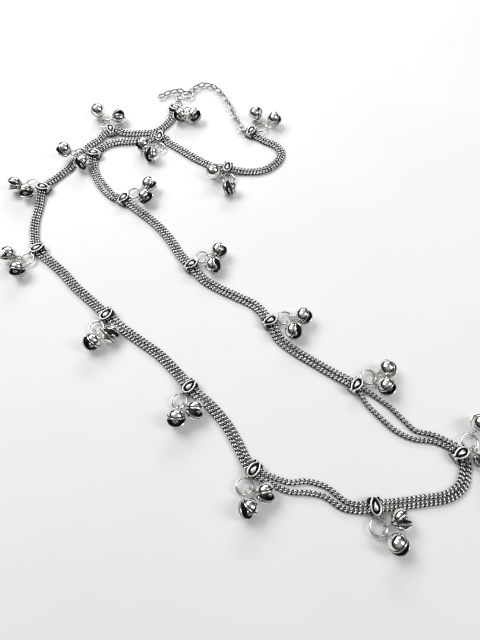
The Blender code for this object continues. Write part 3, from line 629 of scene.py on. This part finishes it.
def clampMatrix(place, heading, side):
    # the casting's +Y, where its eyelet is, points to the side that the bells hang on
    turn = heading if side > 0 else -heading
    return Matrix.Translation(place) @ Matrix.Rotation(math.atan2(turn.y, turn.x), 4, "Z")


def polar(degrees, reach):
    return Vector((math.cos(math.radians(degrees)), math.sin(math.radians(degrees)), 0)) * reach


def ringPlace(place, heading, side, lift, ringDeg):
    outwards = Vector((-heading.y, heading.x, 0)) * side
    centre = place + outwards * layout["eyeletReach"] + polar(ringDeg, layout["ringReach"])
    centre.z = layout["clampHeight"] + lift
    return centre


clampMatrices, eyeletMatrices, ringMatrices = [], [], []
for (place, heading), (side, lift, ringDeg, *_) in zip(clamps, bellPairs):
    matrix = clampMatrix(place, heading, side)
    clampMatrices.append(matrix)
    raised = Matrix.Translation((0, layout["eyeletReach"], layout["clampHeight"] + lift))
    eyeletMatrices.append(matrix @ raised @ Matrix.Rotation(math.pi / 2, 4, "Y"))
    ringMatrices.append(Matrix.Translation(ringPlace(place, heading, side, lift, ringDeg))
                        @ Matrix.Rotation(math.radians(ringDeg), 4, "Z"))

clampNames = [f"clamp_{number:02d}" for number in range(1, 18)]
form = formObject("clampForm", clampForm(clampCasting), clampOxideAndShade)
grown("clampCastings", placeMesh(clampMatrices), copies, {"form": form, "finish": castSilver},
      clampNames)
bpy.data.objects.remove(form)
print("clamps cast")

# Jump rings are bent from wire, with a closed butt joint that shows as a fine dark line.
jumpRing = {"wire": 0.86, "jointDeg": 3.0, "endShare": 0.86, "steps": 44, "sides": 12}
# Round wire is painted bright where it faces straight up or down, with painted shade round its inner and
# outer edges.
wireSideShadeLevels = {"edge": 0.72, "flat": 0.8, "deepest": 0.7}


def ringForm(radius, size):
    shape = bmesh.new()
    steps = size["steps"]
    start = math.radians(size["jointDeg"] / 2)
    span = 2 * math.pi - 2 * start
    points = []
    for k in range(steps + 1):
        a = start + span * k / steps
        points.append(Vector((math.cos(a) * radius, math.sin(a) * radius, 0)))
    shares = [size["endShare"]] + [1.0] * (steps - 1) + [size["endShare"]]
    addTube(shape, points, size["wire"] / 2, size["sides"], False, shares)
    return outward(shape)


# painted shade on the wire's sides and a painted highlight where it faces up or down
def wireSideShade(point, normal):
    return min(max(wireSideShadeLevels["edge"] - abs(normal.z) * wireSideShadeLevels["flat"], 0.0), wireSideShadeLevels["deepest"])


form = formObject("ringForm", ringForm(layout["ringRadius"], jumpRing), wireSideShade)
grown("jumpRings", placeMesh(ringMatrices), copies, {"form": form, "finish": wireSilver},
      clampNames)
bpy.data.objects.remove(form)
shape = bmesh.new()
addRing(shape, clampCasting["eyelet"], clampCasting["eyeletWire"], Matrix(),
        clampCasting["eyeletSegments"], clampCasting["eyeletSides"])
form = formObject("eyeletForm", outward(shape), wireSideShade)
grown("clampEyelets", placeMesh(eyeletMatrices), copies, {"form": form, "finish": wireSilver},
      clampNames)
bpy.data.objects.remove(form)
print("rings closed")

# A clamshell bell: two stamped domes with a beaded lip, hinged open at the loop, and a pellet.
bellShell = {"radius": 3.9, "dome": 3.4, "openingDeg": 18.0, "hingeInset": 2.0, "loopRadius": 1.6,
             "loopWire": 0.6, "loopSegments": 28, "loopSides": 10, "slack": 0.45, "segments": 32,
             "joint": 0.8, "jointPast": 0.1, "jointSize": (0.7, 0.9, 0.9), "pellet": 1.15,
             "pelletReach": 1.6, "pelletDrop": 0.7, "lipHeight": 0.4, "clearance": 0.03}
# The radius and height of a shell's section, from the dome's top over the beaded lip and back inside.
bellProfile = [
    (0.0, 3.4), (0.9, 3.33), (1.8, 3.05), (2.55, 2.55), (3.1, 1.9), (3.38, 1.25), (3.44, 0.95),
    (3.38, 0.84), (3.44, 0.72), (3.6, 0.62), (3.71, 0.38), (3.69, 0.1), (3.55, 0.0), (3.36, 0.12),
    (3.2, 0.6), (3.0, 1.2), (2.5, 1.95), (1.7, 2.6), (0.8, 2.95), (0.0, 3.0),
]


def bellHinge(size):
    return Vector((size["radius"] - size["hingeInset"], 0, 0))


def loopReach(size):
    # from the bell's middle to its loop's middle
    return size["radius"] + size["loopRadius"] - size["loopWire"] / 4


def bellForm(size):
    shape = bmesh.new()
    segments = size["segments"]
    for side in (1, -1):
        rows = []
        for radius, height in bellProfile:
            if radius == 0:
                rows.append([shape.verts.new((0, height, 0))])
            else:
                turns = [2 * math.pi * k / segments for k in range(segments)]
                rows.append([shape.verts.new((math.cos(a) * radius, height, math.sin(a) * radius))
                             for a in turns])
        made = [v for row in rows for v in row]
        for inner, outer in zip(rows, rows[1:]):
            for k in range(segments):
                n = (k + 1) % segments
                if len(inner) == 1:
                    shape.faces.new((inner[0], outer[k], outer[n]))
                elif len(outer) == 1:
                    shape.faces.new((inner[n], inner[k], outer[0]))
                else:
                    shape.faces.new((inner[k], outer[k], outer[n], inner[n]))
        hinge = Matrix.Translation(bellHinge(size))
        swing = hinge @ Matrix.Rotation(-math.radians(size["openingDeg"]), 4, "Z") @ hinge.inverted()
        bmesh.ops.transform(shape, matrix=swing, verts=made)
        if side < 0:
            bmesh.ops.transform(shape, matrix=Matrix.Scale(-1, 4, (0, 1, 0)), verts=made)
    # the soldered joint between the shells and the loop
    addBall(shape, size["joint"], (size["radius"] + size["jointPast"], 0, 0), size["jointSize"])
    bmesh.ops.recalc_face_normals(shape, faces=shape.faces)
    return shape


# How much painted shade each zone of a bell takes, where the crease above the lip runs on the closed shell,
# and how far a face may turn from a dome of this flatness before it counts as inside.
bellShades = {"inside": 0.62, "crease": 1.0, "dome": 0.1, "lip": 0.3, "pellet": 0.4,
                 "creaseHeights": (0.7, 0.98), "creaseRadii": (3.3, 3.55), "domeOver": 1.0,
                 "flatness": 0.8, "insideBelow": -0.1}


def bellShade(point, normal):
    # painted shade: black inside the shells and in the crease above the lip, light on the dome, a little
    # darker on the lip
    depth = bellShades
    hinge = bellHinge(bellShell)
    folded = Vector((point.x, abs(point.y), point.z)) - hinge
    folded.rotate(Matrix.Rotation(math.radians(bellShell["openingDeg"]), 3, "Z"))
    folded += hinge
    radius = math.hypot(folded.x, folded.z)
    facing = Vector((normal.x, normal.y if point.y > 0 else -normal.y, normal.z))
    radial = Vector((folded.x, folded.y * depth["flatness"], folded.z)).normalized()
    if facing.dot(radial) < depth["insideBelow"]:
        return depth["inside"]
    low, high = depth["creaseHeights"]
    inner, outer = depth["creaseRadii"]
    if low < folded.y < high and inner < radius < outer:
        return depth["crease"]
    return depth["dome"] if folded.y > depth["domeOver"] else depth["lip"]


def bellMatrix(ringCentre, headingDeg, rollDeg, lift):
    # the bell hangs away from its ring and dips until its lower edge lies on the surface
    size = bellShell
    away = polar(headingDeg, 1.0)
    roll = math.radians(rollDeg)
    wires = (size["loopWire"] + layout["ringWire"]) / 2
    hold = loopReach(size) + size["loopRadius"] - wires - size["slack"]
    spread = size["radius"] * math.sin(math.radians(size["openingDeg"]))
    # each round takes the dip from the last one; six are enough for it to settle
    dip = 0.3
    for _ in range(6):
        neck = away * -math.cos(dip) - Vector((0, 0, math.sin(dip)))
        flat = Vector((-away.y, away.x, 0))
        shells = flat * math.cos(roll) + flat.cross(neck) * math.sin(roll)
        edge = size["radius"] * math.sqrt(max(1 - shells.z ** 2, 0))
        lowest = max(edge, size["dome"] + size["lipHeight"])
        height = lowest + spread * abs(shells.z) + size["clearance"] + lift
        dip = math.asin((height - ringCentre.z) / hold)
    centre = ringCentre + away * layout["ringRadius"] - neck * hold
    turn = Matrix((neck, shells, neck.cross(shells))).transposed().to_4x4()
    return Matrix.Translation(centre) @ turn


bellMatrices, loopMatrices, pelletMatrices = [], [], []
for (place, heading), (side, lift, ringDeg, *bells) in zip(clamps, bellPairs):
    centre = ringPlace(place, heading, side, lift, ringDeg)
    for headingDeg, rollDeg, bellLift in (bells[:3], bells[3:]):
        matrix = bellMatrix(centre, headingDeg, rollDeg, bellLift)
        bellMatrices.append(matrix)
        upright = Matrix.Rotation(math.radians(rollDeg) - math.pi / 2, 4, "X")
        loopMatrices.append(matrix @ Matrix.Translation((loopReach(bellShell), 0, 0)) @ upright)
        mouthward = matrix @ Vector((-bellShell["pelletReach"], 0, 0))
        mouthward.z -= bellShell["pelletDrop"]
        pelletMatrices.append(Matrix.Translation(mouthward))

bellNames = [f"bell_{number:02d}{letter}" for number in range(1, 18) for letter in "ab"]
form = formObject("bellForm", bellForm(bellShell), bellShade)
grown("bellShells", placeMesh(bellMatrices), copies, {"form": form, "finish": bellSilver},
      bellNames)
bpy.data.objects.remove(form)
shape = bmesh.new()
addBall(shape, bellShell["pellet"], (0, 0, 0))
# the pellet lies in the bell's shade and is painted a mid shade
form = formObject("pelletForm", outward(shape), lambda point, normal: bellShades["pellet"])
grown("bellPellets", placeMesh(pelletMatrices), copies, {"form": form, "finish": bellSilver},
      bellNames)
bpy.data.objects.remove(form)
shape = bmesh.new()
addRing(shape, bellShell["loopRadius"], bellShell["loopWire"], Matrix(), bellShell["loopSegments"],
        bellShell["loopSides"])
form = formObject("loopForm", outward(shape), wireSideShade)
grown("bellLoops", placeMesh(loopMatrices), copies, {"form": form, "finish": wireSilver},
      bellNames)
bpy.data.objects.remove(form)
print("bells hung")

# The closure: a ring at each end, an S-shaped hook and the cable extension chain.
closure = {"height": 1.9, "endRing": 1.9, "endWire": 0.8, "tiltDeg": 50.0, "fit": 0.3, "hookLoop": 2.7,
           "hookWire": 0.9, "hookHeadingDeg": 40.0, "hookArcDeg": 216.0, "hookSteps": 24,
           "hookSides": 12, "tipShare": 0.55, "tipStep": 0.1, "tipBall": 0.44, "caughtDeg": 60.0,
           "exitDeg": 153.0, "fuse": 0.14, "tailLinks": 5, "tailStart": 0.55, "curveSteps": 30,
           "ringSegments": 36, "ringSides": 10, "topShade": 0.05, "underShade": 0.75,
           "underBelow": 0.35}
# Points that the extension chain passes, from the end ring to the hook, and those of its free end.
extensionRoute = [(9.2, 92.9), (6.7, 98.2), (4.7, 105.5), (1.7, 112.2),
                  (-1.8, 118.5), (-5.9, 122.9), (-11.0, 124.7), (-15.3, 122.9)]
tailRoute = [(-25.5, 119.2), (-29.7, 118.2), (-34.0, 115.8), (-38.9, 112.0)]


def solidPiece(name, shape, finish, nodes):
    mesh = bpy.data.meshes.new(name)
    outward(shape).to_mesh(mesh)
    shape.free()
    mesh.transform(Matrix.Scale(mm, 4))
    mesh.shade_smooth()
    mesh.materials.append(finish)
    layer = mesh.attributes.new("tarnish", "FLOAT", "POINT")
    # painted shade: faces that turn down or sideways are darker than those facing up
    depths = [closure["underShade"] if v.normal.z < closure["underBelow"] else closure["topShade"]
              for v in mesh.vertices]
    layer.data.foreach_set("value", depths)
    piece = bpy.data.objects.new(name, mesh)
    bpy.context.scene.collection.objects.link(piece)
    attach(piece, "root")
    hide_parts(*nodes)


def spaced(curve, pitch, count):
    # up to count points along the curve, each a straight pitch from the last
    found = [curve[0]]
    for before, point in zip(curve, curve[1:]):
        if len(found) < count and (point - found[-1]).length >= pitch:
            span, step = (before - found[-1]).length, (point - found[-1]).length
            found.append(before.lerp(point, (pitch - span) / max(step - span, 1e-9)))
    return found


level = Vector((0, 0, closure["height"]))
reach = layout["tail"] + closure["fit"] + closure["endRing"] + closure["endWire"] / 2
ringA = clamps[0][0] - clamps[0][1] * reach + level
ringB = clamps[-1][0] + clamps[-1][1] * reach + level
shape = bmesh.new()
ringFacets = (closure["ringSegments"], closure["ringSides"])
addRing(shape, closure["endRing"], closure["endWire"], Matrix.Translation(ringA), *ringFacets)
headingB = math.atan2(clamps[-1][1].y, clamps[-1][1].x)
tilt = Matrix.Rotation(headingB, 4, "Z") @ Matrix.Rotation(math.radians(closure["tiltDeg"]), 4, "X")
addRing(shape, closure["endRing"], closure["endWire"], Matrix.Translation(ringB) @ tilt, *ringFacets)
solidPiece("endRings", shape, wireSilver, ["end_ring_a", "end_ring_b"])

held = closure["endRing"] + closure["hookLoop"] - (closure["endWire"] + closure["hookWire"]) / 2
loopA = ringB + clamps[-1][1] * (held - closure["fit"])
loopB = loopA + polar(closure["hookHeadingDeg"], 2 * closure["hookLoop"])
turns = [closure["hookArcDeg"] * (k + 1) / closure["hookSteps"] for k in range(closure["hookSteps"])]
hookPath = [loopA + polar(closure["hookHeadingDeg"] + a, closure["hookLoop"]) for a in reversed(turns)]
hookPath.append((loopA + loopB) / 2)
hookPath += [loopB + polar(closure["hookHeadingDeg"] + 180 + a, closure["hookLoop"]) for a in turns]
shape = bmesh.new()
# the wire thins over its last points and ends in a small ball
last = len(hookPath) - 1
taper = [min(1.0, closure["tipShare"] + closure["tipStep"] * min(k, last - k)) for k in range(last + 1)]
addTube(shape, hookPath, closure["hookWire"] / 2, closure["hookSides"], False, taper)
for end in (hookPath[0], hookPath[-1]):
    addBall(shape, closure["tipBall"], end)
solidPiece("sHook", shape, wireSilver, ["hook"])

caught = polar(closure["caughtDeg"], 1.0)
catch = loopB + caught * closure["hookLoop"]
route = [Vector((x, y, closure["height"])) for x, y in extensionRoute]
slack = (cableLinks["pitch"] - closure["fuse"] - closure["endWire"]) / 2 - closure["fit"]
start = ringA + (route[0] - ringA).normalized() * (closure["endRing"] + slack)
curve = smoothCurve([catch, catch + caught * cableLinks["pitch"], *route[::-1], start],
                    closure["curveSteps"])
length = sum((b - a).length for a, b in zip(curve, curve[1:]))
# an even number of steps, so that the links on the ring and on the hook both stand upright
count = 2 * round(length / (2 * cableLinks["pitch"]))
pitch = length / count
# each round brings the last link nearer to its place on the ring
for _ in range(12):
    chainPlaces = spaced(curve, pitch, count)
    pitch += ((start - chainPlaces[-1]).length - pitch) / count
chainPlaces.append(start)
leave = loopB + polar(closure["exitDeg"], closure["hookLoop"] + cableLinks["pitch"] / 3)
tailPoints = [Vector((x, y, closure["height"])) for x, y in tailRoute]
tailBegin = catch - caught * pitch * closure["tailStart"]
tailCurve = smoothCurve([catch, tailBegin, leave, *tailPoints], closure["curveSteps"])
tailPlaces = spaced(tailCurve, pitch, closure["tailLinks"] + 1)[1:]
chain = [*tailPlaces[::-1], *chainPlaces]
extensionValues = linkValues(cableLinks, wireSilver)
extensionValues["pitch"] = pitch * mm
grown("extensionLinks", pathMesh(chain), links, extensionValues, ["extension_chain"])
print("closure placed with", len(chain), "cable links")

# A plain pale floor and soft boxes of light. The dark strips between the lights are what give the
# polished silver its black reflections.
studio = {"floor": "#F6F6F5", "floorShade": "#EFEFEE", "mottle": 14.0, "floorRough": 0.85, "size": 0.9,
          "drop": 0.0002, "sky": 0.5, "backdrop": 0.85}
# Name, place, size in metres and power in watts; every light aims at the origin.
softBoxes = [
    ("keyBox", (-0.35, 0.25, 0.55), (0.5, 0.36), 3.3),
    ("fillBox", (0.5, -0.1, 0.5), (0.25, 0.4), 1.5),
    ("rimBox", (0.05, 0.6, 0.35), (0.5, 0.12), 1.5),
]
# Grey bands by height in the sky, from the horizon to straight above.
skyBands = [(0.0, "#1A1A1C"), (0.32, "#101012"), (0.46, "#9A9A9A"), (0.58, "#3A3A3C"), (0.8, "#E6E6E4")]


def floorMaterial():
    material = bpy.data.materials.new("paleFloor")
    material.use_nodes = True
    tree = material.node_tree
    shader = tree.nodes["Principled BSDF"]
    place = addNode(tree, "ShaderNodeTexCoord")
    noise = addNode(tree, "ShaderNodeTexNoise", {"Scale": studio["mottle"], "Detail": 3.0},
                    {"Vector": place.outputs["Object"]})
    tone = addNode(tree, "ShaderNodeMix", {"data_type": "RGBA"}, {0: noise.outputs["Fac"]})
    tone.inputs[6].default_value = hexColor(studio["floorShade"])
    tone.inputs[7].default_value = hexColor(studio["floor"])
    tree.links.new(tone.outputs[2], shader.inputs["Base Color"])
    shader.inputs["Roughness"].default_value = studio["floorRough"]
    return material


half, drop = studio["size"], studio["drop"]
floorMesh = bpy.data.meshes.new("floor")
corners = [(-half, -half, -drop), (half, -half, -drop), (half, half, -drop), (-half, half, -drop)]
floorMesh.from_pydata(corners, [], [(0, 1, 2, 3)])
floorMesh.materials.append(floorMaterial())
floor = bpy.data.objects.new("floor", floorMesh)
bpy.context.scene.collection.objects.link(floor)


def softBox(name, place, size, power):
    light = bpy.data.lights.new(name, "AREA")
    light.shape = "RECTANGLE"
    light.size, light.size_y = size
    light.energy = power
    lamp = bpy.data.objects.new(name, light)
    lamp.location = place
    lamp.rotation_euler = (-Vector(place)).to_track_quat("-Z", "Y").to_euler()
    bpy.context.scene.collection.objects.link(lamp)


for name, place, size, power in softBoxes:
    softBox(name, place, size, power)

world = bpy.context.scene.world or bpy.data.worlds.new("studioSky")
bpy.context.scene.world = world
world.use_nodes = True
sky = world.node_tree
background = next(n for n in sky.nodes if n.type == "BACKGROUND")
direction = addNode(sky, "ShaderNodeTexCoord")
upwards = addNode(sky, "ShaderNodeSeparateXYZ", None, {0: direction.outputs["Generated"]})
ramp = addNode(sky, "ShaderNodeValToRGB", None, {"Fac": upwards.outputs["Z"]})
while len(ramp.color_ramp.elements) < len(skyBands):
    ramp.color_ramp.elements.new(0.5)
for element, (position, code) in zip(ramp.color_ramp.elements, skyBands):
    element.position = position
    element.color = hexColor(code)
# past the floor's edge the camera sees a plain pale backdrop in place of the bands
seen = addNode(sky, "ShaderNodeLightPath").outputs["Is Camera Ray"]
backdrop = addNode(sky, "ShaderNodeMix", {"data_type": "RGBA"}, {0: seen, 6: ramp.outputs["Color"]})
backdrop.inputs[7].default_value = hexColor(studio["floor"])
strength = addNode(sky, "ShaderNodeMapRange", {"To Min": studio["sky"], "To Max": studio["backdrop"]},
                   {"Value": seen})
sky.links.new(backdrop.outputs[2], background.inputs["Color"])
sky.links.new(strength.outputs["Result"], background.inputs["Strength"])

bpy.context.scene.view_settings.view_transform = "Standard"

# The photograph's view: 62.5 degrees down, along +Y. The place is in millimetres.
view = {"place": (9.802, -133.678, 198.4), "pitchDeg": 62.5, "lens": 37.5, "sensor": 36.0,
        "nearest": 0.005}
camera = bpy.data.cameras.new("camera")
camera.lens = view["lens"]
camera.sensor_width = view["sensor"]
camera.sensor_fit = "HORIZONTAL"
camera.clip_start = view["nearest"]
eye = bpy.data.objects.new("camera", camera)
eye.location = Vector(view["place"]) * mm
eye.rotation_euler = (math.radians(90 - view["pitchDeg"]), 0, 0)
bpy.context.scene.collection.objects.link(eye)
bpy.context.scene.camera = eye
print("studio lit")
